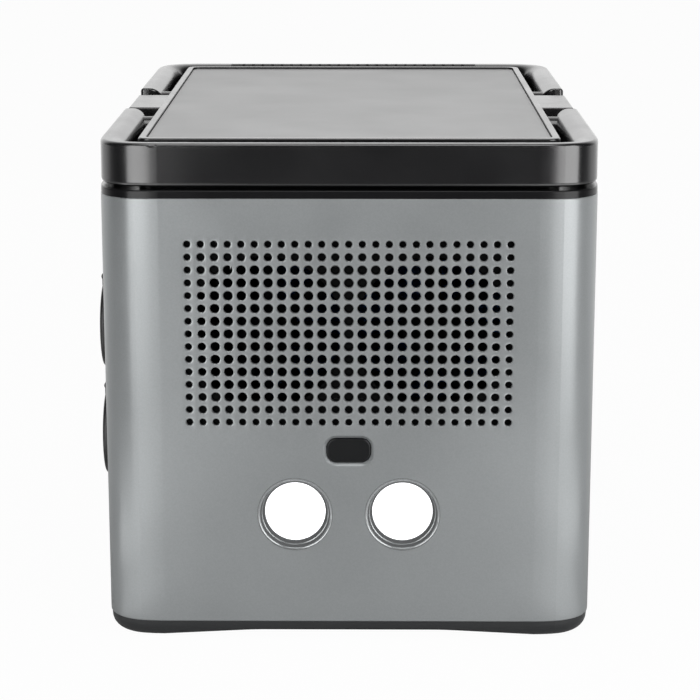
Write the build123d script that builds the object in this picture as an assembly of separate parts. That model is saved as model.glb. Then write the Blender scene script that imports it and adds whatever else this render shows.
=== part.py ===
"""Portable power station: a box-shaped battery pack with two folding U handles.

Millimetres, +Z up. The lamp and fan end faces -Y, the control panel faces -X.
Pieces are drawn round the middle of the case. They are written out moved along +X by half of
what the socket lids stand out from the panel, which puts the origin under the overall middle.
"""
from build123d import *
from math import cos, radians, sin
import os

os.makedirs("parts", exist_ok=True)

# ---------------------------------------------------------------- case, seen from outside
body_width = 216.0
body_depth = 320.0
height = 221.5
corner_radius = 18.9        # tight middle arc of each corner
corner_lead_radius = 60.0   # wide arcs before and after it
corner_lead_angle = 10.0    # degrees that each wide arc turns
case_wall = 2.5
shell_bottom = 8.3
neck_height = 3.4
neck_inset = 0.15
handle_gap = 1.5            # between the neck and the folded handles
handle_height = 18.5
handle_inset = 0.4
seam_gap = 0.6              # open joint between neighbouring case covers
end_wrap = 32.0             # how far each end cover runs along the sides
fit_gap = 0.2               # between fixed pieces that slide together
shell_edge_round = 0.6      # upper edge of the covers
shell_edge_break = 0.4      # lower edge of the covers
tongue_thickness = 2.0      # tongues of the end covers, behind the side covers
tongue_length = 7.0
tongue_root = 8.0
tongue_low = 12.0           # tongue ends, from the covers' lower and upper edges
tongue_high = 8.0
rib_spacing = 53.0          # upright ribs inside the back cover
rib_thickness = 2.0
rib_height = 1.6
rib_margin = 20.0

# ---------------------------------------------------------------- handles
handle_width = 11.3
handle_inner_round = 7.0
handle_outer_round = 1.8
nose_edge_round = 1.0       # edges of the square upper halves of the handles' ends
pivot_offset = 49.0         # handle pivots from the middle, along Y
pivot_boss_radius = 6.5
pivot_pin_radius = 3.0
pivot_clearance = 0.05
pivot_end_gap = 0.3
pivot_inner_boss = 5.5      # boss radius and length inside the deck wall
pivot_inner_length = 6.0
pin_head_radius = 4.2
pin_head_thickness = 1.6
pin_end_wall = 3.3          # left outside the blind end of the pin bore
pin_end_gap = 0.3
grip_margin = 40.0          # from the case's sides to the grip's ends
grip_thickness = 2.0
grip_groove_pitch = 5.3
grip_groove_width = 1.3
grip_groove_depth = 0.7
grip_end_margin = 2.0       # plain stretch at each end of the grip
bumper_radius = 3.5
bumper_from_end = 50.0      # stops on the side runs of the neck, from the case's ends
bumper_clearance = 0.1

# ---------------------------------------------------------------- top deck
arm_gap = 5.2               # open gaps between the deck and the folded handles' arms
finger_gap = 4.8            # and their gripping bars
deck_corner = 5.0
deck_wall = 2.5
deck_edge_round = 0.8
deck_floor = 2.5
pad_border = 3.2
pad_corner = 4.0
pad_edge_round = 0.2
pad_gap = 0.2
pad_thickness = 2.0
pad_recess = 1.0
arm_rest_depth = 50.0       # blocks between the handle ends, along Y
arm_rest_drop = 1.6
arm_rest_inset = 1.0
skirt_height = 5.0
skirt_wall = 2.0

# ---------------------------------------------------------------- base
base_inset = 0.5
base_edge_round = 6.0
foot_lift = 0.5             # how far the rubber pads hold the feet off the ground
arch_height = 2.4           # under the two ends
lip_arch_height = 4.7       # in the lips of the two ends, which rise higher
lip_depth = 4.5
side_arch_height = 2.0
arch_round = 200.0          # where the flat middle bends down towards a foot
arch_foot_x = 19.0          # where the arches meet the ground, from the sides and the ends
arch_foot_y = 28.0
arch_flat_x = 66.0          # where their flat middles begin
arch_flat_y = 90.0
base_floor = 5.5
base_rim = 4.0
rail_height = 6.0
rail_wall = 2.0
rail_gap = 4.0              # between a side rail's end and the screw column
end_rail_margin = 28.0      # from an end rail's end to the case's side
foot_pad_radius = 7.5
foot_pad_thickness = 2.0
foot_pad_from_side = 24.0
foot_pad_from_end = 20.0
column_radius = 4.0
column_from_side = 7.0      # screw columns from the covers' inner faces
column_from_end = 26.5
column_height = 32.0
column_rib = 3.0
seat_margin = 1.25          # the tray's boss under each column is wider by this
screw_radius = 1.5
screw_head_radius = 3.0
screw_head_height = 1.6
screw_length = 20.0
screw_slot_width = 0.8
screw_slot_length = 4.0
screw_clearance = 0.1
pilot_clearance = 0.05

# ---------------------------------------------------------------- lamp end
grille_width = 143.4
grille_height = 85.4
grille_corner = 3.0
grille_drop = 16.3          # from the covers' upper edge to the grille
grille_columns = 25
grille_rows = 15
grille_pitch_x = 5.764
grille_pitch_z = 5.61
hole_radius = 1.99
hole_radius_second = 1.69
hole_radius_edge = 1.45
grille_gap = 0.15
bracket_margin = 2.5
bracket_thickness = 2.0
bracket_corner = 4.0
filter_thickness = 5.0
filter_inset = 2.0          # inside the grille's outline, all round
filter_frame_depth = 6.5
filter_frame_rim = 4.0
filter_frame_bar = 3.0
filter_bays = 3
lamp_x = 23.6
lamp_drop = 29.0            # from the button to the lamps
bezel_radius = 16.5
bezel_flange = 0.8
bezel_barrel = 15.3
bezel_length = 9.9
bezel_face_width = 1.2      # rim, before the slope to the lens
bezel_edge = 0.4            # bevel round the outer rim
bezel_clearance = 0.1
lens_radius = 13.3
lens_recess = 5.0
lens_thickness = 1.5
lens_ledge = 0.8            # how far the ring reaches in behind the lens
led_size = 3.6
led_base = 1.0
led_dome_radius = 1.5
led_dome_height = 1.2
reflector_throat = 3.0      # radius of the reflector's hole round the light source
reflector_wall = 0.6
lamp_depth = 14.0           # from the end face to the lamp board
board_thickness = 1.6
lamp_board_width = 80.0
lamp_board_height = 53.0
lamp_board_rise = 6.5       # middle of the board above the lamps
lamp_post_radius = 2.5
lamp_post_x = 36.0
lamp_post_rise = 22.0       # lamp board posts from the middle of the board
button_drop = 9.4           # from the grille to the middle of the button
button_width = 19.2
button_height = 10.9
button_corner = 4.3
button_clearance = 0.25
button_sink = 0.4
button_travel = 1.2
button_flange = 1.0         # retaining flange behind the wall, all round
button_flange_thickness = 1.2
button_recess = 1.1
button_recess_margin = 1.45
button_recess_slope = 45.0  # degrees
button_edge_round = 0.7
stem_radius = 2.5
stem_gap = 0.1              # between a pressed button's stem and its switch
switch_size = 6.0
switch_height = 2.5
plunger_radius = 1.7
plunger_height = 0.8

# ---------------------------------------------------------------- fans
fan_size = 70.0
fan_thickness = 15.0
fan_bore = 33.5
fan_x = 36.0
fan_corner = 4.0
fan_screw_offset = 30.5
fan_screw_radius = 2.0
fan_shaft_radius = 1.5
fan_hub_radius = 13.0
fan_hub_wall = 1.5
fan_blade_radius = 32.0
fan_blades = 7
fan_blade_width = 11.0
fan_blade_thickness = 1.4
fan_blade_pitch = 38.0
fan_strut_width = 3.0
fan_strut_thickness = 1.5
fan_end_gap = 1.5
fan_front_gap = 1.0         # rotor behind the front of its frame
fan_hub_front = 3.0         # thickness of the hub's front wall
motor_gap = 3.0             # between the hub's inner wall and the motor's housing
motor_front = 5.0           # front of the motor's housing, from the front of the frame
shaft_front = 3.0
shaft_end_gap = 0.5
shaft_clearance = 0.05
blade_root = 0.6            # how far the blades run into the hub
fan_screw_head = 1.0
fan_screw_head_height = 1.4
fan_screw_bite = 0.4

# ---------------------------------------------------------------- control panel
socket_stand_out = 7.0
socket_from_seam = 52.0     # outlets, from the panel's near end
socket_row = 98.6           # heights on the panel are measured down from its upper edge
socket_spacing = 52.0
socket_radius = 22.0
socket_flange = 4.0
socket_body_radius = 21.0
socket_recess_radius = 19.5
socket_recess_depth = 17.5
socket_depth = 32.0
socket_key_width = 3.2      # upright ribs at both sides of a recess
socket_key_height = 5.0
socket_key_depth = 9.0
socket_key_offset = 18.6
clip_width = 5.0
clip_length = 12.0
clip_thickness = 1.0
clip_gap = 0.45
contact_offset = 9.5
contact_hole_radius = 2.6
contact_radius = 3.4
contact_length = 11.0
contact_wall = 3.0          # between the recess's floor and the sleeves
contact_end = 1.5           # closed end of a sleeve
contact_clearance = 0.05
flange_edge_round = 0.8
lid_thickness = 2.8
lid_inset = 1.5
lid_edge_round = 1.3
hinge_rise = 1.6            # hinge pin above the edge of the flange
knuckle_radius = 1.8
knuckle_width = 11.0
ear_width = 3.0
ear_drop = 5.0              # ears below the hinge axis, on the flange
knuckle_drop = 6.0          # knuckle plate below the top of the flange
hinge_pin_radius = 0.8
hinge_clearance = 0.05
hinge_side_gap = 0.3
car_from_seam = 40.0        # low-voltage outlets, from the panel's far end
car_row = 70.1
car_radius = 16.0
car_bore = 10.6
car_body_radius = 13.0
car_depth = 32.0
car_wall = 2.0
stud_radius = 3.5
stud_tip_radius = 2.0
stud_base = 1.5
stud_length = 4.0
panel_board_gap = 11.5      # panel board behind the panel's inner face
panel_button_clearance = 0.2
panel_button_travel = 1.0
display_y = 8.0
display_row = 40.1
display_width = 86.0
display_height = 44.0
display_corner = 3.0
display_glass = 1.5
display_module_depth = 6.0
display_border = 3.0
display_lip = 0.5           # module inside the panel's opening, all round
display_post_y = 34.0
display_post_z = 14.0
display_post_radius = 2.0
power_y = 8.0
power_row = 80.1
power_radius = 8.0
key_width = 18.0
key_height = 9.0
key_corner = 3.0
key_row = 30.1
key_edge_round = 0.6
key_flange = 1.5            # retaining flange of keys and round button
key_flange_thickness = 1.2
usb_y = 8.0
usb_row = 118.1
usb_spread_y = 14.0
usb_spread_z = 9.0
usb_a_size = (14.6, 7.2)
usb_c_size = (9.4, 3.6)
usb_a_corner = 0.6
usb_c_corner = 1.5
usb_wall = 0.5
usb_sink = 0.5
port_floor = 2.0            # closed back of the ports and jacks
jack_row = 114.1
jack_spread = 14.0
jack_radius = 5.5
jack_bore = 2.75
input_row = 144.1
input_radius = 7.0
input_bore = 4.0
jack_sink = 0.3
jack_pin_share = 0.36
board_post_radius = 3.0
board_margin_y = 6.0        # panel board beyond its posts
board_margin_z = 6.0

# ---------------------------------------------------------------- battery
cell_radius = 16.5
cell_length = 140.0
cell_pitch = 34.6
cell_rows = 4
cell_clearance = 0.1
battery_side_gap = 10.7     # from the pack to the back cover's ribs
battery_end_gap = 1.8       # and to the filter's frame
holder_margin = 2.0
holder_height = 8.0
holder_floor = 2.0
holder_corner = 6.0
cell_edge = 0.8
bus_thickness = 1.0
bus_width = 12.0
tie_rod_radius = 1.8
bms_rise = 8.0
bms_width = 110.0
bms_depth = 90.0
transistor_count = 6
transistor_size = 10.0
transistor_height = 4.0
transistor_pitch = 15.0
chip_size = 18.0
chip_height = 1.4

# ---------------------------------------------------------------- inverter and charging coil
inverter_socket_gap = 10.0  # from the outlets' backs to the power board
inverter_side_gap = 3.5     # from the board to the back cover
inverter_fan_gap = 14.5     # from the fans to the board
inverter_pack_gap = 8.8     # from the board to the battery pack
standoff_height = 10.5
standoff_radius = 3.0
standoff_inset = 7.0
heatsink_width = 28.0
heatsink_height = 62.0
heatsink_margin = 5.0       # power board beyond the heatsinks' ends
fin_thickness = 1.6
fin_count = 9
fin_web = 4.0
heatsink_edge = 6.0         # from the edge of the power board
left_heatsink_gap = 1.5     # between the left heatsink and the choke
capacitor_radius = 11.0
capacitor_height = 40.0
capacitor_gap = 2.0
component_x = 12.0          # transformer and capacitors, from the middle of the power board
component_margin = 3.5      # and from its ends
transformer_width = 44.0
transformer_depth = 38.0
transformer_height = 36.0
winding_inset = 8.0         # winding inside the core's width, and the core inside its depth
choke_radius = 13.0
choke_wire = 5.0
choke_margin_x = 2.5        # from the choke to the board's edge
choke_margin_y = 9.0
coil_outer = 24.0
coil_inner = 9.0
coil_thickness = 2.2
coil_turns = 7
coil_groove_width = 0.3
coil_groove_depth = 0.6
ferrite_margin = 2.0
ferrite_thickness = 1.5
carrier_size = 70.0
carrier_thickness = 2.0
carrier_post_radius = 3.0
carrier_post_inset = 1.0

# ---------------------------------------------------------------- worked out from the above
half_width = body_width / 2
half_depth = body_depth / 2
handle_top = height
handle_bottom = height - handle_height
neck_top = handle_bottom - handle_gap
shell_top = neck_top - neck_height
pivot_z = handle_bottom + handle_height / 2
seam_y = half_depth - end_wrap
inner_x = half_width - case_wall
inner_y = half_depth - case_wall
arm_outer = half_width - handle_inset
arm_inner = arm_outer - handle_width
nose_end = -pivot_offset + handle_height / 2
bar_outer = half_depth - handle_inset
bar_inner = bar_outer - handle_width
grip_length = 2 * (half_width - grip_margin)
deck_width = 2 * (arm_inner - arm_gap)
deck_depth = 2 * (bar_inner - finger_gap)
pin_start = deck_width / 2 - deck_wall - pivot_inner_length
foot_pad_x = half_width - foot_pad_from_side
foot_pad_y = half_depth - foot_pad_from_end
column_x = inner_x - column_from_side
column_y = inner_y - column_from_end
grille_z = shell_top - grille_drop - grille_height / 2
button_z = grille_z - grille_height / 2 - button_drop
lamp_z = button_z - lamp_drop
lamp_board_z = lamp_z + lamp_board_rise
fan_front = -inner_y + bracket_thickness
fan_back = fan_front + fan_thickness
origin_shift = socket_stand_out / 2


# ---------------------------------------------------------------- shape helpers
def block(x0, x1, y0, y1, z0, z1):
    """A plain box between two corners."""
    middle = Pos((x0 + x1) / 2, (y0 + y1) / 2, (z0 + z1) / 2)
    return middle * Box(abs(x1 - x0), abs(y1 - y0), abs(z1 - z0))


def slab(width, depth, radius, z0, z1, x=0, y=0):
    """A plate with round corners seen from above."""
    return extrude(Plane((x, y, z0)) * RectangleRounded(width, depth, radius), z1 - z0)


def plate_y(width, tall, radius, y0, y1, x=0, z=0):
    """A plate with round corners that faces along Y."""
    plane = Plane((x, y0, z), x_dir=(1, 0, 0), z_dir=(0, 1, 0))
    return extrude(plane * RectangleRounded(width, tall, radius), y1 - y0)


def plate_x(deep, tall, radius, x0, x1, y=0, z=0):
    """A plate with round corners that faces along X."""
    plane = Plane((x0, y, z), x_dir=(0, 1, 0), z_dir=(1, 0, 0))
    return extrude(plane * RectangleRounded(deep, tall, radius), x1 - x0)


def rod(radius, start, end):
    """A round bar between two points on a line along one axis."""
    a, b = Vector(*start), Vector(*end)
    return extrude(Plane(a, z_dir=(b - a).normalized()) * Circle(radius), (b - a).length)


def rod_x(radius, x0, x1, y, z):
    return rod(radius, (x0, y, z), (x1, y, z))


def rod_y(radius, y0, y1, x, z):
    return rod(radius, (x, y0, z), (x, y1, z))


def rod_z(radius, z0, z1, x, y):
    return rod(radius, (x, y, z0), (x, y, z1))


def turned_y(points, x, z):
    """A body of revolution about a line along Y; points are (radius, y)."""
    outline = Plane((x, 0, z)) * Polygon(*points, align=None)
    return revolve(outline, Axis((x, 0, z), (0, 1, 0)))


def across(shape):
    """The shape and its mirror image on the other side of the middle, left to right."""
    return shape + mirror(shape, about=Plane.YZ)


def end_to_end(shape):
    """The shape and its mirror image at the other end."""
    return shape + mirror(shape, about=Plane.XZ)


def far(shape):
    """The mirror image at the other end."""
    return mirror(shape, about=Plane.XZ)


def top_edges(shape):
    return shape.edges().group_by(Axis.Z)[-1]


def case_outline(inset):
    """The case's outline from above, moved inwards; each corner is a tight arc between two wide ones."""
    turn = radians(corner_lead_angle)
    wide, tight = corner_lead_radius - inset, corner_radius - inset
    between = corner_lead_radius - corner_radius
    reach = corner_lead_radius * (sin(turn) + 1 - cos(turn)) + corner_radius * (cos(turn) - sin(turn))
    x, y = half_width - inset, half_depth - inset
    side_y, end_x = half_depth - reach, half_width - reach
    wide_x, wide_y = half_width - corner_lead_radius, half_depth - corner_lead_radius
    corner = Curve() + [
        CenterArc((wide_x, side_y), wide, 0, corner_lead_angle),
        CenterArc((wide_x + between * cos(turn), side_y + between * sin(turn)), tight,
                  corner_lead_angle, 90 - 2 * corner_lead_angle),
        CenterArc((end_x, wide_y), wide, 90 - corner_lead_angle, corner_lead_angle)]
    ring = end_to_end(across(corner))
    ring += [Line((-x, -side_y), (-x, side_y)), Line((x, -side_y), (x, side_y))]
    ring += [Line((-end_x, -y), (end_x, -y)), Line((-end_x, y), (end_x, y))]
    return make_face(ring.edges())


def case_slab(inset, z0, z1):
    """A plate with the case's outline, moved inwards."""
    return extrude(Pos(0, 0, z0) * case_outline(inset), z1 - z0)


# ---------------------------------------------------------------- base
def arch(flat, foot, rise, run, along_x):
    """The space under the base between two feet: flat in the middle, sloping down to each foot."""
    top = foot_lift + rise
    slope = rise / (foot - flat)
    beyond = foot + foot_lift / slope
    over = FilletPolyline((-beyond, 0), (-flat, top), (flat, top), (beyond, 0), radius=arch_round)
    face = make_face([over, Line((beyond, 0), (-beyond, 0))])
    if along_x:
        plane = Plane((-run, 0, 0), x_dir=(0, 1, 0), z_dir=(1, 0, 0))
    else:
        plane = Plane((0, run, 0), x_dir=(1, 0, 0), z_dir=(0, -1, 0))
    return extrude(plane * face, 2 * run)


def corners(x, y):
    """Four places mirrored about the middle."""
    return [(sx * x, sy * y) for sx in (-1, 1) for sy in (-1, 1)]


def base_tray():
    """Moulded floor of the case with four feet and rails that locate the covers."""
    tray = case_slab(base_inset, foot_lift, shell_bottom)
    tray = fillet(tray.edges().group_by(Axis.Z)[0], base_edge_round)
    flat_x, foot_x = half_width - arch_flat_x, half_width - arch_foot_x
    tray -= arch(flat_x, foot_x, arch_height, half_depth, along_x=False)
    lip_y = half_depth - lip_depth
    between_lips = block(-half_width, half_width, -lip_y, lip_y, 0, shell_bottom)
    tray -= arch(flat_x, foot_x, lip_arch_height, half_depth, along_x=False) - between_lips
    tray -= arch(half_depth - arch_flat_y, half_depth - arch_foot_y, side_arch_height, half_width,
                 along_x=True)
    tray -= case_slab(base_inset + base_rim, base_floor, shell_bottom + 1)
    rail_x, rail_y = inner_x - fit_gap, inner_y - fit_gap
    side_run = seam_y - 2 * column_radius - rail_gap
    rail_top = shell_bottom + rail_height
    tray += across(block(rail_x - rail_wall, rail_x, -side_run, side_run, base_floor - 1, rail_top))
    end_run = half_width - end_rail_margin
    tray += end_to_end(block(-end_run, end_run, rail_y - rail_wall, rail_y, base_floor - 1, rail_top))
    for x, y in corners(column_x, column_y):
        tray += rod_z(column_radius + seat_margin, base_floor - 1, shell_bottom, x, y)
    for x, y in corners(column_x, column_y):
        tray -= rod_z(screw_radius + screw_clearance, 0, shell_bottom + 1, x, y)
        tray -= rod_z(screw_head_radius + fit_gap, 0, foot_lift + arch_height, x, y)
    for x, y in corners(foot_pad_x, foot_pad_y):
        tray -= rod_z(foot_pad_radius, 0, foot_pad_thickness, x, y)
    return tray + board_pillars()


def foot_pads():
    """Four rubber discs let into the feet; the station stands on them."""
    pads = [rod_z(foot_pad_radius, 0, foot_pad_thickness, x, y)
            for x, y in corners(foot_pad_x, foot_pad_y)]
    return [fillet(pad.edges().group_by(Axis.Z)[0], foot_lift * 0.6) for pad in pads]


def case_screws():
    """Pan-head screws that hold the end covers on the base."""
    seat = foot_lift + arch_height
    screws = []
    for x, y in corners(column_x, column_y):
        head = rod_z(screw_head_radius, seat - screw_head_height, seat, x, y)
        slot = block(x - screw_slot_length / 2, x + screw_slot_length / 2,
                     y - screw_slot_width / 2, y + screw_slot_width / 2,
                     seat - screw_head_height, seat - screw_head_height / 2)
        screws.append(head - slot + rod_z(screw_radius, seat - 0.1, seat + screw_length, x, y))
    return screws


# ---------------------------------------------------------------- case covers
def shell_ring():
    """The full wall of the case; the covers are cut from it."""
    outer = case_slab(0, shell_bottom, shell_top)
    outer = fillet(top_edges(outer), shell_edge_round)
    outer = chamfer(outer.edges().group_by(Axis.Z)[0], shell_edge_break)
    return outer - case_slab(case_wall, shell_bottom - 1, shell_top + 1)


def end_cover():
    """An end wall that wraps both corners, with tongues behind the side seams and screw columns."""
    cover = shell_ring() - block(-body_width, body_width, -seam_y, body_depth, 0, height)
    tongue_out = inner_x - fit_gap
    tongue_in = tongue_out - tongue_thickness
    low, high = shell_bottom + tongue_low, shell_top - tongue_high
    root = block(tongue_in, inner_x + 0.5, -seam_y - tongue_root, -seam_y, low, high)
    tongue = block(tongue_in, tongue_out, -seam_y, -seam_y + tongue_length, low, high)
    cover += across(root + tongue)
    foot = shell_bottom + fit_gap
    column = rod_z(column_radius, foot, foot + column_height, column_x, -column_y)
    rib = block(column_x, inner_x + 0.5, -column_y - column_rib / 2, -column_y + column_rib / 2,
                foot, foot + column_height)
    pilot = rod_z(screw_radius + pilot_clearance, foot - 1, foot + screw_length, column_x, -column_y)
    return cover + across(column + rib) - across(pilot)


def grille_window():
    size = 2 * grille_gap
    return plate_y(grille_width + size, grille_height + size, grille_corner + grille_gap,
                   -half_depth - 1, -inner_y + 1, 0, grille_z)


def lamp_end_cover():
    """Grey end cover with the grille window, the lamp holes and the lamp button's recess."""
    cover = end_cover() - grille_window()
    for x in (-lamp_x, lamp_x):
        cover -= rod_y(bezel_radius + bezel_clearance, -half_depth - 1, -half_depth + bezel_flange,
                       x, lamp_z)
        cover -= rod_y(bezel_barrel + bezel_clearance, -half_depth - 1, -inner_y + 1, x, lamp_z)
    margin = 2 * button_recess_margin
    recess = RectangleRounded(button_width + margin, button_height + margin,
                              button_corner + button_recess_margin)
    face = Plane((0, -half_depth, button_z), x_dir=(1, 0, 0), z_dir=(0, 1, 0))
    cover -= extrude(face * recess, button_recess, taper=button_recess_slope)
    gap = 2 * button_clearance
    cover -= plate_y(button_width + gap, button_height + gap, button_corner + button_clearance,
                     -half_depth - 1, -inner_y + 1, 0, button_z)
    for x in (-lamp_post_x, lamp_post_x):
        for z in (lamp_board_z - lamp_post_rise, lamp_board_z + lamp_post_rise):
            cover += rod_y(lamp_post_radius, -inner_y - 0.5, -half_depth + lamp_depth, x, z)
    return cover


def intake_end_cover():
    """Grey end cover with the window for the air intake."""
    return far(end_cover() - grille_window())


def side_panel():
    """The straight wall between the two end covers, on the +X side."""
    keep = block(0, body_width, -seam_y + seam_gap, seam_y - seam_gap, 0, height)
    return shell_ring() & keep


def back_cover():
    """Grey cover on the side away from the panel, with upright stiffening ribs inside."""
    cover = side_panel()
    for k in (-1.5, -0.5, 0.5, 1.5):
        y = k * rib_spacing
        cover += block(inner_x - rib_height, inner_x + 0.5, y - rib_thickness / 2, y + rib_thickness / 2,
                       shell_bottom + rib_margin, shell_top - rib_margin)
    return cover


# ---------------------------------------------------------------- top cover, pad and charging coil
def top_cover():
    """Black neck, raised deck with its pad recess, and the blocks between the handle ends."""
    neck = fillet(top_edges(case_slab(neck_inset, shell_top, neck_top)), deck_edge_round)
    deck = slab(deck_width, deck_depth, deck_corner, neck_top - 1, height)
    deck = fillet(top_edges(deck), deck_edge_round)
    rest_x = half_width - arm_rest_inset
    rest = block(-rest_x, rest_x, -arm_rest_depth / 2, arm_rest_depth / 2,
                 neck_top - 1, height - arm_rest_drop)
    rest = fillet(top_edges(rest), deck_edge_round)
    pad_floor = height - pad_recess - pad_thickness
    cavity_top = pad_floor - deck_floor
    cover = neck + deck + rest
    cover -= slab(deck_width - 2 * deck_wall, deck_depth - 2 * deck_wall, deck_corner - deck_wall / 2,
                  shell_top - 1, cavity_top)
    cover -= slab(deck_width - 2 * pad_border, deck_depth - 2 * pad_border, pad_corner,
                  pad_floor, height + 1)
    skirt_inset = case_wall + fit_gap
    skirt = case_slab(skirt_inset, shell_top - skirt_height, shell_top + 0.5)
    cover += skirt - case_slab(skirt_inset + skirt_wall, 0, height)
    wall_x = deck_width / 2 - deck_wall
    for side in (-1, 1):
        for y in (-pivot_offset, pivot_offset):
            cover += rod_x(pivot_inner_boss, side * (wall_x - pivot_inner_length), side * (wall_x + 1),
                           y, pivot_z)
    for side in (-1, 1):
        for y in (-pivot_offset, pivot_offset):
            cover -= rod_x(pivot_pin_radius + pivot_clearance, side * (pin_start - 1),
                           side * deck_width / 2, y, pivot_z)
            cover -= rod_x(pin_head_radius + fit_gap, side * (pin_start - pin_head_thickness - fit_gap),
                           side * pin_start, y, pivot_z)
    return cover


def deck_pad():
    """Soft flat pad that lies in the deck's recess, over the charging coil."""
    inset = 2 * (pad_border + pad_gap)
    top = height - pad_recess
    pad = slab(deck_width - inset, deck_depth - inset, pad_corner - pad_gap, top - pad_thickness, top)
    return fillet(top_edges(pad), pad_edge_round)


coil_top = height - pad_recess - pad_thickness - deck_floor


def charging_coil():
    """Flat wound copper coil against the underside of the deck."""
    coil = rod_z(coil_outer, coil_top - coil_thickness, coil_top, 0, 0)
    coil -= rod_z(coil_inner, 0, height, 0, 0)
    step = (coil_outer - coil_inner) / coil_turns
    low = coil_top - coil_thickness
    for turn in range(1, coil_turns):
        middle = coil_inner + turn * step
        groove = rod_z(middle + coil_groove_width / 2, low, low + coil_groove_depth, 0, 0)
        coil -= groove - rod_z(middle - coil_groove_width / 2, 0, height, 0, 0)
    return coil


def coil_ferrite():
    """Ferrite sheet behind the coil."""
    top = coil_top - coil_thickness
    size = 2 * (coil_outer + ferrite_margin)
    return slab(size, size, 4, top - ferrite_thickness, top)


def coil_carrier():
    """Tray that holds coil and ferrite up against the deck on four posts."""
    top = coil_top - coil_thickness - ferrite_thickness
    tray = slab(carrier_size, carrier_size, 5, top - carrier_thickness, top)
    post = carrier_size / 2 - carrier_post_radius - carrier_post_inset
    for x, y in corners(post, post):
        tray += rod_z(carrier_post_radius, top - carrier_thickness, coil_top, x, y)
    return tray


# ---------------------------------------------------------------- handles
def handle_blank():
    """U-shaped handle at the lamp end; its ends are square above the pivots and round below them."""
    outer = case_slab(handle_inset, handle_bottom, handle_top)
    outer -= case_slab(handle_inset + handle_width, 0, height + 1)
    blank = outer - block(-body_width, body_width, -pivot_offset, body_depth, 0, height + 1)
    nose = rod_x(handle_height / 2, arm_inner, arm_outer, -pivot_offset, pivot_z)
    square = block(arm_inner, arm_outer, -pivot_offset, nose_end, pivot_z, handle_top)
    blank += across(nose + square)
    blank = fillet_sides(blank)
    flats = blank.faces().filter_by(GeomType.PLANE)
    ends = [face for face in flats if abs(face.center().Y - nose_end) < 0.01]
    upper = [edge for face in ends for edge in face.edges() if (edge @ 0.5).Z > pivot_z + 0.01]
    return fillet(upper, nose_edge_round)


def fillet_sides(blank):
    """Round the handle's inner and outer outlines, which each run round both noses."""
    def outline(shape, inside):
        found = []
        for edge in shape.edges():
            middle, end = edge @ 0.5, edge @ 0
            upright = edge.geom_type == GeomType.LINE and abs((edge @ 1).Z - end.Z) > 1
            within = abs(middle.X) < arm_inner + 0.01 and middle.Y > -bar_inner - 0.01
            beyond = abs(middle.X) > arm_inner + 0.01 or middle.Y < -bar_inner - 0.01
            across_arm = abs(abs(middle.X) - (arm_inner + arm_outer) / 2) < 0.01 and middle.Y > -bar_inner
            if upright or across_arm:
                continue
            if (inside and within) or (not inside and beyond):
                found.append(edge)
        return found
    blank = fillet(outline(blank, True), handle_inner_round)
    edges = [edge for edge in outline(blank, False) if on_outside(edge)]
    return fillet(edges, handle_outer_round)


def on_outside(edge):
    """True for an edge that lies on the handle's outer wall."""
    rim = case_outline(handle_inset).wire()
    points = [edge @ t for t in (0, 0.5, 1)]
    return all(rim.distance_to(Vertex(point.X, point.Y, 0)) < 0.01 for point in points)


def grip_section(shrink):
    """Outline of the gripping bar's inner half, in Y and Z, shrunk inwards all round."""
    round_in = handle_inner_round - shrink
    low, high = handle_bottom + shrink, handle_top - shrink
    inner = -bar_inner - shrink
    flat = inner - round_in
    middle = Plane((0, flat + round_in / 2, pivot_z), x_dir=(0, 1, 0), z_dir=(1, 0, 0))
    section = middle * Rectangle(round_in, high - low)
    rounded = Plane((0, inner - 4 * round_in, pivot_z), x_dir=(0, 1, 0), z_dir=(1, 0, 0))
    return section & (rounded * RectangleRounded(8 * round_in, high - low, round_in - 0.001))


def grip_shell(length, outer_shrink, inner_shrink):
    """The layer of the gripping bar's inner half between two depths below its surface."""
    shell = extrude(grip_section(outer_shrink), length / 2, both=True)
    return shell - extrude(grip_section(inner_shrink), length, both=True)


def grip():
    """Soft insert on the inner side of the gripping bar, with finger grooves across it."""
    insert = grip_shell(grip_length, 0, grip_thickness)
    groove = grip_shell(grip_groove_width, -0.01, grip_groove_depth)
    count = int((grip_length - 2 * grip_end_margin) // grip_groove_pitch)
    for k in range(count):
        insert -= Pos((k - (count - 1) / 2) * grip_groove_pitch, 0, 0) * groove
    return insert


def handle():
    """Folding handle at the lamp end: the U, its pivot bosses and blind pin bores."""
    shape = handle_blank() - grip_shell(grip_length, -0.01, grip_thickness)
    boss_end = deck_width / 2 + pivot_end_gap
    shape += across(rod_x(pivot_boss_radius, boss_end, arm_outer - pin_end_wall, -pivot_offset, pivot_z))
    bore = rod_x(pivot_pin_radius + pivot_clearance, boss_end - 1, arm_outer - pin_end_wall,
                 -pivot_offset, pivot_z)
    return shape - across(bore)


def handle_pins():
    """Four headed pivot pins, put in from inside the deck."""
    pin_end = arm_outer - pin_end_wall - pin_end_gap
    pin = rod_x(pivot_pin_radius, pin_start, pin_end, -pivot_offset, pivot_z)
    pin += rod_x(pin_head_radius, pin_start - pin_head_thickness, pin_start, -pivot_offset, pivot_z)
    return end_to_end(across(pin))


def handle_bumpers():
    """Small rubber stops on the neck that the folded handles rest on."""
    stop = rod_z(bumper_radius, neck_top, handle_bottom - bumper_clearance,
                 (arm_inner + arm_outer) / 2, -(half_depth - bumper_from_end))
    return end_to_end(across(stop))


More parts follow.
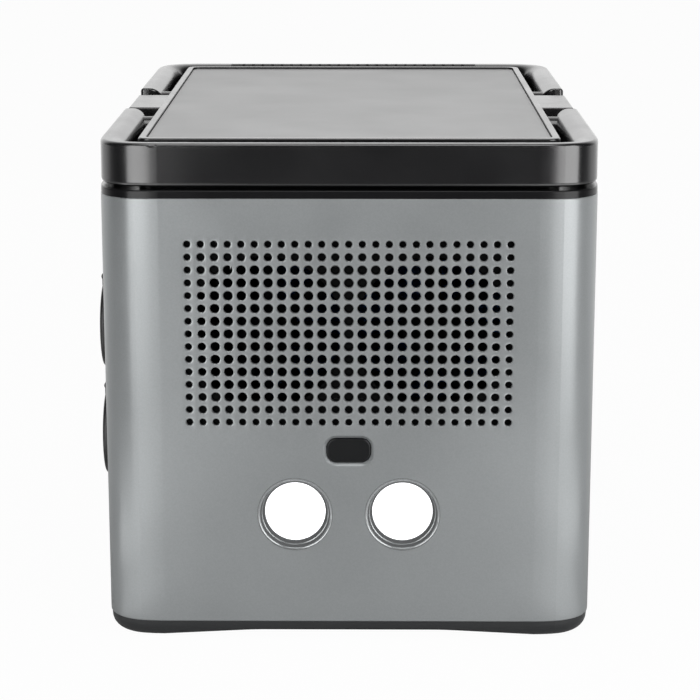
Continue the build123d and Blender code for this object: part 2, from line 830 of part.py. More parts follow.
# ---------------------------------------------------------------- lamp end pieces
def grille_plate():
    """Perforated plate, flush with the end wall; its outer holes are smaller."""
    holes = []
    for column in range(grille_columns):
        for row in range(grille_rows):
            ring = min(column, row, grille_columns - 1 - column, grille_rows - 1 - row)
            radius = (hole_radius_edge, hole_radius_second)[ring] if ring < 2 else hole_radius
            x = (column - (grille_columns - 1) / 2) * grille_pitch_x
            z = (row - (grille_rows - 1) / 2) * grille_pitch_z
            holes.append(Wire.make_circle(radius, Plane((x, z, 0))))
    rim = RectangleRounded(grille_width, grille_height, grille_corner).wire()
    face = Face(rim, holes)
    plane = Plane((0, -half_depth, grille_z), x_dir=(1, 0, 0), z_dir=(0, 1, 0))
    return extrude(plane * Sketch(face.wrapped), case_wall)


def fan_bracket():
    """Plate behind the grille that carries both fans."""
    bracket = plate_y(grille_width + 2 * bracket_margin, grille_height + 2 * bracket_margin,
                      bracket_corner, -inner_y, fan_front, 0, grille_z)
    for x in (-fan_x, fan_x):
        bracket -= rod_y(fan_bore, -inner_y - 1, fan_front + 1, x, grille_z)
    return bracket - fan_screw_holes(fan_screw_radius - fan_screw_bite)


def fan_places():
    offset = fan_screw_offset
    return [(x + sx * offset, grille_z + sz * offset)
            for x in (-fan_x, fan_x) for sx in (-1, 1) for sz in (-1, 1)]


def fan_screw_holes(radius):
    holes = [rod_y(radius, -inner_y - 1, fan_back + 1, x, z) for x, z in fan_places()]
    return Part() + holes


def fan_frames():
    """Two square fan frames, each with a bush and four struts behind the rotor."""
    frames = []
    for x in (-fan_x, fan_x):
        frame = plate_y(fan_size, fan_size, fan_corner, fan_front, fan_back, x, grille_z)
        frame -= rod_y(fan_bore, fan_front - 1, fan_back + 1, x, grille_z)
        strut_front = fan_back - fan_strut_thickness
        reach = fan_bore + 1
        frame += block(x - reach, x + reach, strut_front, fan_back,
                       grille_z - fan_strut_width / 2, grille_z + fan_strut_width / 2)
        frame += block(x - fan_strut_width / 2, x + fan_strut_width / 2, strut_front, fan_back,
                       grille_z - reach, grille_z + reach)
        frame += rod_y(fan_hub_radius, strut_front, fan_back, x, grille_z)
        motor_radius = fan_hub_radius - fan_hub_wall - motor_gap
        frame += rod_y(motor_radius, fan_front + motor_front, strut_front + 0.5, x, grille_z)
        frame += rod_y(fan_shaft_radius, fan_front + shaft_front, fan_front + motor_front + 1, x, grille_z)
        frames.append(frame - fan_screw_holes(fan_screw_radius))
    return frames


def fan_rotor(x):
    """Hub with swept blades that turns on the frame's short shaft."""
    y0 = fan_front + fan_front_gap
    y1 = fan_back - fan_strut_thickness - fan_end_gap
    hub = rod_y(fan_hub_radius, y0, y1, x, grille_z)
    hub -= rod_y(fan_hub_radius - fan_hub_wall, y0 + fan_hub_front, y1 + 1, x, grille_z)
    hub -= rod_y(fan_shaft_radius + shaft_clearance, fan_front + shaft_front - shaft_end_gap,
                 fan_front + motor_front, x, grille_z)
    reach = fan_blade_radius - fan_hub_radius + blade_root
    blade = Box(fan_blade_thickness, fan_blade_width, reach)
    blade = Rot(0, 0, fan_blade_pitch) * blade
    blade = Pos(0, (y0 + y1) / 2, fan_hub_radius - blade_root + reach / 2) * blade
    for k in range(fan_blades):
        hub += Pos(x, 0, grille_z) * Rot(0, 360 * k / fan_blades, 0) * blade
    keep = rod_y(fan_blade_radius, y0, y1, x, grille_z)
    return hub & keep


def fan_screws():
    """Screws through each fan's corners into the bracket."""
    screws = []
    for x, z in fan_places():
        screw = rod_y(fan_screw_radius - fan_screw_bite - screw_clearance, -inner_y + 0.3, fan_back, x, z)
        head_back = fan_back + fan_screw_head_height
        screws.append(screw + rod_y(fan_screw_radius + fan_screw_head, fan_back, head_back, x, z))
    return screws


def lamp_bezels():
    """Stepped rings that hold the lamp lenses."""
    face, seat = -half_depth, -half_depth + lens_recess
    back = -half_depth + bezel_length
    ledge, seat_radius = lens_radius - lens_ledge, lens_radius + bezel_clearance
    slope = bezel_radius - bezel_face_width
    ring = [(bezel_radius - bezel_edge, face), (bezel_radius, face + bezel_edge),
            (bezel_radius, face + bezel_flange), (bezel_barrel, face + bezel_flange),
            (bezel_barrel, back), (ledge, back), (ledge, seat + lens_thickness),
            (seat_radius, seat + lens_thickness), (seat_radius, seat - 0.3),
            (seat_radius + 0.5, seat - 0.6), (slope - 0.3, face + 1.0), (slope, face)]
    return [turned_y(ring, x, lamp_z) for x in (-lamp_x, lamp_x)]


def lamp_lenses():
    """Clear front discs of the lamps."""
    front = -half_depth + lens_recess
    return [rod_y(lens_radius, front, front + lens_thickness, x, lamp_z) for x in (-lamp_x, lamp_x)]


def lamp_reflectors():
    """Polished cups between each lens and its light source."""
    front, back = -half_depth + lens_recess + lens_thickness, -half_depth + lamp_depth
    rim = lens_radius - lens_ledge - bezel_clearance
    throat = reflector_throat
    cup = [(rim, front), (rim, front + 1), (throat + 2, back), (throat, back),
           (throat, back - reflector_wall), (rim - 1, front)]
    return [turned_y(cup, x, lamp_z) for x in (-lamp_x, lamp_x)]


def lamp_leds():
    """Square light sources with domes, on the lamp board."""
    back = -half_depth + lamp_depth
    half, front = led_size / 2, back - led_base
    dome = [(0, front - led_dome_height), (led_dome_radius * 0.6, front - led_dome_height * 0.75),
            (led_dome_radius, front), (0, front)]
    leds = []
    for x in (-lamp_x, lamp_x):
        led = block(x - half, x + half, front, back, lamp_z - half, lamp_z + half)
        leds.append(led + turned_y(dome, x, lamp_z))
    return leds


def lamp_board():
    """Circuit board for both lamps and the lamp switch."""
    back = -half_depth + lamp_depth
    return plate_y(lamp_board_width, lamp_board_height, 2, back, back + board_thickness, 0, lamp_board_z)


def lamp_switch():
    """Push switch behind the lamp button."""
    back = -half_depth + lamp_depth
    half = switch_size / 2
    front = back - switch_height
    body = block(-half, half, front, back, button_z - half, button_z + half)
    return body + rod_y(plunger_radius, front - plunger_height, front, 0, button_z)


def lamp_button():
    """Black push button with a flange that keeps it in, and a stem towards the switch."""
    front = -half_depth + button_sink
    behind = -inner_y + fit_gap
    cap = plate_y(button_width, button_height, button_corner, front, behind, 0, button_z)
    cap = fillet(cap.edges().group_by(Axis.Y)[0], button_edge_round)
    flange = plate_y(button_width + 2 * button_flange, button_height + 2 * button_flange,
                     button_corner + button_flange, behind, behind + button_flange_thickness, 0, button_z)
    stem_end = -half_depth + lamp_depth - switch_height - plunger_height - button_travel - stem_gap
    return cap + flange + rod_y(stem_radius, behind + 1, stem_end, 0, button_z)


# ---------------------------------------------------------------- intake end pieces
def intake_filter():
    """Open-cell dust filter behind the intake grille, held in a light frame."""
    inset = 2 * filter_inset
    return far(plate_y(grille_width - inset, grille_height - inset, filter_inset,
                       -inner_y, -inner_y + filter_thickness, 0, grille_z))


def filter_frame():
    """Frame that clips the dust filter against the intake grille."""
    width, tall = grille_width + 2 * bracket_margin, grille_height + 2 * bracket_margin
    back = -inner_y + filter_frame_depth
    frame = plate_y(width, tall, bracket_corner, -inner_y, back, 0, grille_z)
    pocket = 2 * (filter_inset - fit_gap)
    frame -= plate_y(grille_width - pocket, grille_height - pocket, filter_inset + fit_gap,
                     -inner_y - 1, -inner_y + filter_thickness + fit_gap, 0, grille_z)
    bay = grille_width / filter_bays
    for k in range(filter_bays):
        x = (k - (filter_bays - 1) / 2) * bay
        frame -= plate_y(bay - filter_frame_bar, grille_height - 2 * filter_frame_rim, grille_corner,
                         -inner_y, back + 1, x, grille_z)
    return far(frame)


# ---------------------------------------------------------------- control panel
panel_face = -half_width
panel_inside = -inner_x
board_face = panel_inside + panel_board_gap
key_back = panel_inside + fit_gap
key_stem_end = board_face - switch_height - plunger_height - panel_button_travel - stem_gap
socket_y, car_y = -seam_y + socket_from_seam, seam_y - car_from_seam
socket_z, car_z = shell_top - socket_row, shell_top - car_row
key_z, display_z, power_z = shell_top - key_row, shell_top - display_row, shell_top - power_row
usb_z, jack_z, input_z = shell_top - usb_row, shell_top - jack_row, shell_top - input_row
socket_places = [socket_z + socket_spacing / 2, socket_z - socket_spacing / 2]
lid_back = panel_face - socket_stand_out + lid_thickness
hinge_x = panel_face - socket_stand_out + knuckle_radius
socket_front = panel_face - socket_flange
socket_floor = socket_front + socket_recess_depth
key_places = [(socket_y, key_z), (car_y, key_z)]
usb_a_places = [(usb_y - usb_spread_y, usb_z + usb_spread_z), (usb_y + usb_spread_y, usb_z + usb_spread_z)]
usb_c_places = [(usb_y - usb_spread_y, usb_z - usb_spread_z), (usb_y + usb_spread_y, usb_z - usb_spread_z)]
jack_places = [(car_y - jack_spread, jack_z), (car_y + jack_spread, jack_z)]
post_high, post_low = key_z + 12, input_z - 10
post_far, post_near = car_y + 24, usb_y - 36
board_posts = [(socket_y - 8, post_high), (socket_y + 26, post_high), (post_far, post_high),
               (post_far, post_low), (post_near, post_low), (post_near, power_z)]


def front_panel():
    """Black control panel with its openings and the posts for the circuit board behind it."""
    panel = mirror(side_panel(), about=Plane.YZ)
    out, back = panel_face - 1, panel_inside + 1
    for z in socket_places:
        panel -= rod_x(socket_body_radius + fit_gap, out, back, socket_y, z)
    panel -= rod_x(car_body_radius + fit_gap, out, back, car_y, car_z)
    gap = 2 * panel_button_clearance
    for y, z in key_places:
        panel -= plate_x(key_width + gap, key_height + gap, key_corner + gap / 2, out, back, y, z)
    panel -= rod_x(power_radius + gap / 2, out, back, power_y, power_z)
    for places, size, radius in ((usb_a_places, usb_a_size, usb_a_corner + panel_button_clearance),
                                 (usb_c_places, usb_c_size, usb_c_corner + panel_button_clearance)):
        for y, z in places:
            panel -= plate_x(size[0] + gap, size[1] + gap, radius, out, back, y, z)
    for y, z in jack_places:
        panel -= rod_x(jack_radius + fit_gap, out, back, y, z)
    panel -= rod_x(input_radius + fit_gap, out, back, car_y, input_z)
    panel -= plate_x(display_width + gap, display_height + gap, display_corner, out,
                     panel_face + display_glass, display_y, display_z)
    border = 2 * display_border
    panel -= plate_x(display_width - border, display_height - border, display_corner, out, back,
                     display_y, display_z)
    for y, z in board_posts:
        panel += rod_x(board_post_radius, panel_inside - 0.5, board_face, y, z)
    return panel


def panel_board():
    """Circuit board behind the panel that carries ports, switches and display."""
    low_y, top = post_near - board_margin_y, post_high + board_margin_z - 1
    back = board_face + board_thickness
    board = block(board_face, back, low_y, post_far + board_margin_y, post_low - board_margin_z, top)
    board += block(board_face, back, socket_y - 16, low_y + 1, key_z - 10, top)
    return board - rod_x(car_body_radius + 1, board_face - 1, back + 1, car_y, car_z)


def lidded_flange(y, z, radius):
    """Round flange with two hinge ears above it, in front of the panel."""
    front = panel_face - socket_flange
    flange = rod_x(radius, front, panel_face, y, z)
    flange = fillet(flange.edges().group_by(Axis.X)[0], flange_edge_round)
    hinge_z = z + radius + hinge_rise
    ear_at = knuckle_width / 2 + hinge_side_gap
    for side in (-1, 1):
        y0, y1 = y + side * ear_at, y + side * (ear_at + ear_width)
        flange += block(front, panel_face, y0, y1, hinge_z - ear_drop, hinge_z + knuckle_radius)
        flange += block(hinge_x, front, y0, y1, hinge_z - knuckle_radius, hinge_z + knuckle_radius)
        flange += rod_y(knuckle_radius, y0, y1, hinge_x, hinge_z)
    half = knuckle_width / 2 + hinge_side_gap
    flange -= rod_y(knuckle_radius + hinge_side_gap, y - half, y + half, hinge_x, hinge_z)
    return flange - hinge_bore(y, hinge_z)


def hinge_bore(y, z):
    """The running hole for a lid's pin."""
    return rod_y(hinge_pin_radius + hinge_clearance, y - knuckle_width, y + knuckle_width, hinge_x, z)


def lid(y, z, radius):
    """Round hinged cover with a knuckle on the hinge pin."""
    out = panel_face - socket_stand_out
    disc = rod_x(radius - lid_inset, out, lid_back, y, z)
    disc = fillet(disc.edges().group_by(Axis.X)[0], lid_edge_round)
    hinge_z = z + radius + hinge_rise
    half = knuckle_width / 2
    disc += block(out, lid_back, y - half, y + half, z + radius - knuckle_drop, hinge_z)
    disc += rod_y(knuckle_radius, y - half, y + half, hinge_x, hinge_z)
    return disc - hinge_bore(y, hinge_z)


def lid_pins():
    """Steel hinge pins of the three lids."""
    reach = knuckle_width / 2 + hinge_side_gap + ear_width
    places = [(socket_y, z + socket_radius) for z in socket_places] + [(car_y, car_z + car_radius)]
    return [rod_y(hinge_pin_radius, y - reach, y + reach, hinge_x, z + hinge_rise) for y, z in places]


def ac_socket(z):
    """Round outlet: flange, deep recess with two contact holes, and its body behind the panel."""
    back = panel_face + socket_depth
    body = rod_x(socket_body_radius, panel_face - 0.5, back, socket_y, z)
    body += lidded_flange(socket_y, z, socket_radius)
    body -= rod_x(socket_recess_radius, socket_front - 9, socket_floor, socket_y, z)
    within = rod_x(socket_recess_radius + 0.2, socket_front, socket_floor + 1, socket_y, z)
    for side in (-1, 1):
        y = socket_y + side * contact_offset
        body -= rod_x(contact_hole_radius, socket_floor - 1, socket_floor + contact_wall + 1, y, z)
        body -= rod_x(contact_radius + contact_clearance, socket_floor + contact_wall, back + 1, y, z)
        key_y = socket_y + side * socket_key_offset
        key = block(socket_floor - socket_key_depth, socket_floor + 1,
                    key_y - socket_key_width / 2, key_y + socket_key_width / 2,
                    z - socket_key_height / 2, z + socket_key_height / 2)
        body += key & within
    return body


def socket_contacts():
    """Brass sleeves behind the outlets' contact holes."""
    start = socket_floor + contact_wall
    end = start + contact_length
    sleeves = []
    for z in socket_places:
        for y in (socket_y - contact_offset, socket_y + contact_offset):
            bore = rod_x(contact_hole_radius - fit_gap, start - 1, end - contact_end, y, z)
            sleeves.append(rod_x(contact_radius, start, end, y, z) - bore)
    return sleeves


def earth_clips():
    """Spring strips at the top and bottom of each outlet's recess."""
    clips = []
    for z in socket_places:
        for side in (-1, 1):
            edge = z + side * (socket_recess_radius - clip_gap)
            clips.append(block(socket_floor - clip_length, socket_floor, socket_y - clip_width / 2,
                               socket_y + clip_width / 2, edge, edge - side * clip_thickness))
    return clips


def car_socket():
    """Round low-voltage outlet with a plain bore."""
    body = rod_x(car_body_radius, panel_face - 0.5, panel_face + car_depth, car_y, car_z)
    body += lidded_flange(car_y, car_z, car_radius)
    return body - rod_x(car_bore, panel_face - 20, panel_face + car_depth - car_wall, car_y, car_z)


def car_contact():
    """Spring stud at the bottom of the low-voltage outlet."""
    floor = panel_face + car_depth - car_wall
    stud = rod_x(stud_radius, floor - stud_base, floor, car_y, car_z)
    return stud + rod_x(stud_tip_radius, floor - stud_length, floor - 1, car_y, car_z)


def display_window():
    """Dark glass over the display, flush with the panel."""
    return plate_x(display_width, display_height, display_corner - panel_button_clearance, panel_face,
                   panel_face + display_glass, display_y, display_z)


def display_module():
    """Display behind the glass, carried on spacers from the panel board."""
    border = 2 * (display_border + display_lip)
    back = panel_face + display_glass + display_module_depth
    module = plate_x(display_width - border, display_height - border, display_corner - display_lip,
                     panel_face + display_glass, back, display_y, display_z)
    for side in (-1, 1):
        for rise in (-1, 1):
            y, z = display_y + side * display_post_y, display_z + rise * display_post_z
            module += rod_x(display_post_radius, back - 0.5, board_face, y, z)
    return module


def panel_key(y, z):
    """Oblong push key of the panel."""
    key = plate_x(key_width, key_height, key_corner, panel_face, key_back, y, z)
    key = fillet(key.edges().group_by(Axis.X)[0], key_edge_round)
    key += plate_x(key_width + 2 * key_flange, key_height + 2 * key_flange, key_corner + key_flange,
                   key_back, key_back + key_flange_thickness, y, z)
    return key + rod_x(stem_radius, key_back + 0.8, key_stem_end, y, z)


def power_button():
    """Round main push button."""
    button = rod_x(power_radius, panel_face, key_back, power_y, power_z)
    button = fillet(button.edges().group_by(Axis.X)[0], key_edge_round)
    button += rod_x(power_radius + key_flange, key_back, key_back + key_flange_thickness, power_y, power_z)
    return button + rod_x(stem_radius, key_back + 0.8, key_stem_end, power_y, power_z)


def panel_switches():
    """Push switches behind the panel's keys and main button."""
    switches = []
    half = switch_size / 2
    for y, z in key_places + [(power_y, power_z)]:
        body = block(board_face - switch_height, board_face, y - half, y + half, z - half, z + half)
        top = board_face - switch_height
        switches.append(body + rod_x(plunger_radius, top - plunger_height, top, y, z))
    return switches


def usb_ports(places, size, corner):
    """Port shells that reach from the panel board to the panel's face, each with its tongue."""
    ports = []
    for y, z in places:
        shell = plate_x(size[0], size[1], corner, panel_face + usb_sink, board_face, y, z)
        shell -= plate_x(size[0] - 2 * usb_wall, size[1] - 2 * usb_wall, corner - usb_wall / 2, panel_face,
                         board_face - port_floor, y, z)
        tongue = size[1] / 6
        shell += block(panel_face + 2.5, board_face - 1.5, y - size[0] / 2 + 1.6, y + size[0] / 2 - 1.6,
                       z - tongue, z + tongue)
        ports.append(shell)
    return ports


def round_jack(y, z, radius, bore):
    """Round power jack with a centre pin, between the panel board and the panel's face."""
    jack = rod_x(radius, panel_face + jack_sink, board_face, y, z)
    jack -= rod_x(bore, panel_face, board_face - port_floor, y, z)
    return jack + rod_x(bore * jack_pin_share, panel_face + 3, board_face - 1, y, z)


def dc_jacks():
    """Two low-voltage output jacks."""
    return [round_jack(y, z, jack_radius, jack_bore) for y, z in jack_places]


def charge_inlet():
    """Round charging inlet."""
    return round_jack(car_y, input_z, input_radius, input_bore)


# ---------------------------------------------------------------- battery
pack_size = cell_rows * cell_pitch + 2 * holder_margin
battery_x = inner_x - rib_height - battery_side_gap - pack_size / 2
battery_y = inner_y - filter_frame_depth - battery_end_gap - pack_size / 2


def cell_places():
    middle = (cell_rows - 1) / 2
    return [(battery_x + (i - middle) * cell_pitch, battery_y + (j - middle) * cell_pitch)
            for i in range(cell_rows) for j in range(cell_rows)]


cell_bottom = base_floor + holder_floor
cell_top = cell_bottom + cell_length


def tie_places():
    return [(battery_x + sx * cell_pitch, battery_y + sy * cell_pitch) for sx in (-1, 1) for sy in (-1, 1)]


def cell_holder(z0, z1):
    """Moulded tray that keeps the cells apart."""
    holder = slab(pack_size, pack_size, holder_corner, z0, z1, battery_x, battery_y)
    for x, y in cell_places():
        holder -= rod_z(cell_radius + cell_clearance, max(z0, cell_bottom), z1 + 1, x, y)
    for x, y in tie_places():
        holder -= rod_z(tie_rod_radius, z0 - 1, z1 + 1, x, y)
    return holder


def battery_cells():
    """Round cells, standing."""
    cells = []
    for x, y in cell_places():
        cell = rod_z(cell_radius, cell_bottom, cell_top, x, y)
        cells.append(chamfer(cell.edges().group_by(Axis.Z)[-1], cell_edge))
    return cells


def bus_bars():
    """Plates that join pairs of cell rows on top of the pack."""
    bars = []
    middle = (cell_rows - 1) / 2
    for pair in range(cell_rows // 2):
        x = battery_x + (2 * pair + 0.5 - middle) * cell_pitch
        for j in range(cell_rows):
            y = battery_y + (j - middle) * cell_pitch
            bars.append(slab(cell_pitch + bus_width, bus_width, bus_width / 4,
                             cell_top, cell_top + bus_thickness, x, y))
    return bars


def tie_rods():
    """Threaded rods that clamp the two cell holders and carry the management board."""
    top = cell_top + bms_rise
    return [rod_z(tie_rod_radius, base_floor, top, x, y) for x, y in tie_places()]


def bms_board():
    """Battery management board above the cells, with its power transistors."""
    z = cell_top + bms_rise
    top = z + board_thickness
    board = slab(bms_width, bms_depth, 3, z, top, battery_x, battery_y)
    row_y = battery_y + bms_depth * 0.3
    for k in range(transistor_count):
        x = battery_x + (k - (transistor_count - 1) / 2) * transistor_pitch
        half = transistor_size / 2
        board += block(x - half, x + half, row_y - half, row_y + half, top, top + transistor_height)
    half = chip_size / 2
    chip_y = battery_y - bms_depth * 0.1
    return board + block(battery_x - half, battery_x + half, chip_y - half, chip_y + half,
                         top, top + chip_height)


# ---------------------------------------------------------------- inverter
inverter_top = base_floor + standoff_height + board_thickness
inverter_left = panel_face + socket_depth + inverter_socket_gap
inverter_right = inner_x - inverter_side_gap
inverter_front = fan_back + inverter_fan_gap
inverter_back = battery_y - pack_size / 2 - inverter_pack_gap
inverter_x = (inverter_left + inverter_right) / 2
inverter_y = (inverter_front + inverter_back) / 2
inverter_width = inverter_right - inverter_left
inverter_depth = inverter_back - inverter_front
choke_x = inverter_left + choke_margin_x + choke_radius


def inverter_board():
    """Main power board above the floor."""
    return slab(inverter_width, inverter_depth, 4, base_floor + standoff_height, inverter_top,
                inverter_x, inverter_y)


def board_pillars():
    """Pillars moulded on the floor, under the corners of the power board."""
    reach_x, reach_y = inverter_width / 2 - standoff_inset, inverter_depth / 2 - standoff_inset
    top = base_floor + standoff_height
    return [rod_z(standoff_radius, base_floor - 1, top, inverter_x + x, inverter_y + y)
            for x, y in corners(reach_x, reach_y)]


def heatsink(x):
    """Extruded heatsink with fins that run with the air flow."""
    y0, y1 = inverter_front + heatsink_margin, inverter_back - heatsink_margin
    left, right = x - heatsink_width / 2, x + heatsink_width / 2
    sink = block(x - fin_web / 2, x + fin_web / 2, y0, y1, inverter_top, inverter_top + heatsink_height)
    pitch = (heatsink_height - fin_thickness) / (fin_count - 1)
    for k in range(fin_count):
        z = inverter_top + k * pitch
        sink += block(left, right, y0, y1, z, z + fin_thickness)
    return sink


def heatsinks():
    """One heatsink along the board's outer edge and one beside the sockets."""
    right = inverter_right - heatsink_edge - heatsink_width / 2
    left = choke_x + choke_radius + left_heatsink_gap + heatsink_width / 2
    return [heatsink(right), heatsink(left)]


def transformer():
    """Ferrite-core transformer with its winding."""
    half_w, half_d = transformer_width / 2, transformer_depth / 2
    x, y = inverter_x + component_x, inverter_front + component_margin + half_d
    core_d, top = half_d - winding_inset, inverter_top + transformer_height
    core = block(x - half_w, x + half_w, y - core_d, y + core_d, inverter_top, top)
    winding = slab(transformer_width - 2 * winding_inset, transformer_depth, 6,
                   inverter_top, top - winding_inset, x, y)
    return core + winding


def capacitors():
    """Tall round capacitors standing on the power board."""
    step = capacitor_radius + capacitor_gap / 2
    x = inverter_x + component_x
    y = inverter_back - component_margin - step - capacitor_radius
    cans = []
    for i, j in corners(step, step):
        can = rod_z(capacitor_radius, inverter_top, inverter_top + capacitor_height, x + i, y + j)
        cans.append(fillet(can.edges().group_by(Axis.Z)[-1], 1.2))
    return cans


def output_choke():
    """Wound ring choke beside the sockets, on the power board."""
    x, y = choke_x, inverter_back - choke_margin_y - choke_radius
    ring = rod_z(choke_radius, inverter_top, inverter_top + 2 * choke_wire, x, y)
    ring = fillet(ring.edges().group_by(Axis.Z)[-1], choke_wire - 1)
    return ring - rod_z(choke_radius - 2 * choke_wire, 0, height, x, y)


# ---------------------------------------------------------------- write the pieces
sheet = grille_plate()

pieces = {
    "base_tray": base_tray(),
    "foot_pads": foot_pads(),
    "screws": case_screws() + fan_screws(),
    "lamp_end_cover": lamp_end_cover(),
    "intake_end_cover": intake_end_cover(),
    "back_cover": back_cover(),
    "front_panel": front_panel(),
    "top_cover": top_cover(),
    "deck_pad": deck_pad(),
    "charging_coil": charging_coil(),
    "coil_ferrite": coil_ferrite(),
    "coil_carrier": coil_carrier(),
    "lamp_end_handle": handle(),
    "lamp_end_grip": grip(),
    "intake_end_handle": far(handle()),
    "intake_end_grip": far(grip()),
    "handle_pins": handle_pins(),
    "handle_bumpers": handle_bumpers(),
    "vent_grille": sheet,
    "intake_grille": far(sheet),
    "intake_filter": intake_filter(),
    "filter_frame": filter_frame(),
    "fan_bracket": fan_bracket(),
    "fan_frames": fan_frames(),
    "fan_rotor_left": fan_rotor(-fan_x),
    "fan_rotor_right": fan_rotor(fan_x),
    "lamp_bezels": lamp_bezels(),
    "lamp_lenses": lamp_lenses(),
    "lamp_reflectors": lamp_reflectors(),
    "lamp_leds": lamp_leds(),
    "lamp_board": lamp_board(),
    "lamp_button": lamp_button(),
    "upper_ac_socket": ac_socket(socket_places[0]),
    "lower_ac_socket": ac_socket(socket_places[1]),
    "upper_socket_lid": lid(socket_y, socket_places[0], socket_radius),
    "lower_socket_lid": lid(socket_y, socket_places[1], socket_radius),
    "socket_contacts": socket_contacts() + [car_contact()],
    "earth_clips": earth_clips(),
    "lid_pins": lid_pins(),
    "car_socket": car_socket(),
    "car_socket_lid": lid(car_y, car_z, car_radius),
    "display_window": display_window(),
    "display_module": display_module(),
    "ac_button": panel_key(*key_places[0]),
    "dc_button": panel_key(*key_places[1]),
    "power_button": power_button(),
    "panel_board": panel_board(),
    "push_switches": [lamp_switch()] + panel_switches(),
    "usb_ports": (usb_ports(usb_a_places, usb_a_size, usb_a_corner)
                  + usb_ports(usb_c_places, usb_c_size, usb_c_corner)),
    "dc_jacks": dc_jacks() + [charge_inlet()],
    "battery_cells": battery_cells(),
    "cell_holders": [cell_holder(base_floor, base_floor + holder_height),
                     cell_holder(cell_top - holder_height, cell_top)],
    "bus_bars": bus_bars(),
    "tie_rods": tie_rods(),
    "bms_board": bms_board(),
    "inverter_board": inverter_board(),
    "heatsinks": heatsinks(),
    "transformer": transformer(),
    "capacitors": capacitors(),
    "output_choke": output_choke(),
}


def solids_of(shape):
    """The separate solids of a piece or a group of pieces."""
    members = shape if isinstance(shape, list) else [shape]
    return [solid for member in members for solid in member.solids()]


for node, shape in pieces.items():
    placed = [Pos(origin_shift, 0, 0) * solid for solid in solids_of(shape)]
    export_step(placed[0] if len(placed) == 1 else Compound(children=placed), f"parts/{node}.step")
print(len(pieces), "pieces written")
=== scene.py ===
"""Looks of the portable power station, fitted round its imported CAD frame.

Metres, +Z up. The lamp and vent end faces -Y and the control panel faces -X, as in the frame.
"""
from math import cos, pi, radians, sin, tan

import bmesh
import bpy
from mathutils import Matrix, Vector


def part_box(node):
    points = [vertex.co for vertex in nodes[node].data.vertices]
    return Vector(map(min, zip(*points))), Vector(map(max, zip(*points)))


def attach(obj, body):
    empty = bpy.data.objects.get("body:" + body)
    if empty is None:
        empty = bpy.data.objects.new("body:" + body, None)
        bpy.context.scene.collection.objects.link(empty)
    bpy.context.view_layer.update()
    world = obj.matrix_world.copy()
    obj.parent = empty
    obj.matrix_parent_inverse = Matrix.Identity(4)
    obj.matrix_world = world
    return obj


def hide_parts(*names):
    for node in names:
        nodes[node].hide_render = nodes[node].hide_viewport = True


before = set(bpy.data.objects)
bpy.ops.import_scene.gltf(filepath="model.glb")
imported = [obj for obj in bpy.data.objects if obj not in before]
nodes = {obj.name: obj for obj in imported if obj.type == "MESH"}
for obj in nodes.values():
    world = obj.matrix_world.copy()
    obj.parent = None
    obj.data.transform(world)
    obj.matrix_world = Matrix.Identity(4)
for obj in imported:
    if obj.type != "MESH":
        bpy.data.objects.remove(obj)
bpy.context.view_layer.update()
scene = bpy.context.scene
MM = 0.001


# ---------------------------------------------------------------- materials
def new_material(name):
    """A node material with its Principled shader, as (material, tree, shader)."""
    material = bpy.data.materials.new(name)
    material.use_nodes = True
    tree = material.node_tree
    return material, tree, tree.nodes["Principled BSDF"]


def set_inputs(node, **inputs):
    """Sets some inputs of a shader node, by name with underscores for spaces."""
    for key, value in inputs.items():
        node.inputs[key.replace("_", " ")].default_value = value


def add(tree, kind, **inputs):
    """A new shader node with some of its inputs set."""
    node = tree.nodes.new(kind)
    set_inputs(node, **inputs)
    return node


def noise(tree, size, detail=2.0, stretch=(1, 1, 1)):
    """A noise texture in the piece's own coordinates; size is that of its blobs, in metres."""
    place = tree.nodes.new("ShaderNodeTexCoord")
    mapping = add(tree, "ShaderNodeMapping", Scale=stretch)
    texture = add(tree, "ShaderNodeTexNoise", Scale=1 / size, Detail=detail)
    tree.links.new(place.outputs["Object"], mapping.inputs["Vector"])
    tree.links.new(mapping.outputs["Vector"], texture.inputs["Vector"])
    return texture.outputs["Fac"]


def spread(tree, source, low, high):
    """A texture value stretched from the middle of its range to low..high."""
    ramp = add(tree, "ShaderNodeMapRange", From_Min=0.3, From_Max=0.7, To_Min=low, To_Max=high)
    tree.links.new(source, ramp.inputs["Value"])
    return ramp.outputs["Result"]


def shade(tree, colour, factor):
    """A colour made lighter or darker by a texture value round 1."""
    scale = tree.nodes.new("ShaderNodeVectorMath")
    scale.operation = "SCALE"
    scale.inputs[0].default_value = colour
    tree.links.new(factor, scale.inputs["Scale"])
    return scale.outputs["Vector"]


def bump(tree, shader, height, depth):
    """Surface relief of the given depth, in metres, added over any that is there."""
    relief = add(tree, "ShaderNodeBump", Distance=depth, Strength=1.0)
    tree.links.new(height, relief.inputs["Height"])
    if shader.inputs["Normal"].is_linked:
        tree.links.new(shader.inputs["Normal"].links[0].from_socket, relief.inputs["Normal"])
    tree.links.new(relief.outputs["Normal"], shader.inputs["Normal"])


def moulded(name, colour, roughness, grain, depth, tint=0.03, polish=0.03, **fixed):
    """Moulded or painted plastic: fine grain, slow colour change and uneven polish.

    The grain is given by its size and the depth of its relief; fixed sets other inputs of the shader.
    """
    material, tree, shader = new_material(name)
    fine = noise(tree, grain)
    slow = noise(tree, 30 * MM, detail=4.0)
    speck = spread(tree, fine, 1 - tint, 1 + tint)
    drift = spread(tree, slow, 1 - tint / 2, 1 + tint / 2)
    both = tree.nodes.new("ShaderNodeMath")
    both.operation = "MULTIPLY"
    tree.links.new(speck, both.inputs[0])
    tree.links.new(drift, both.inputs[1])
    tree.links.new(shade(tree, colour, both.outputs["Value"]), shader.inputs["Base Color"])
    uneven = spread(tree, slow, roughness - polish, roughness + polish)
    tree.links.new(uneven, shader.inputs["Roughness"])
    bump(tree, shader, fine, depth)
    set_inputs(shader, **fixed)
    return material


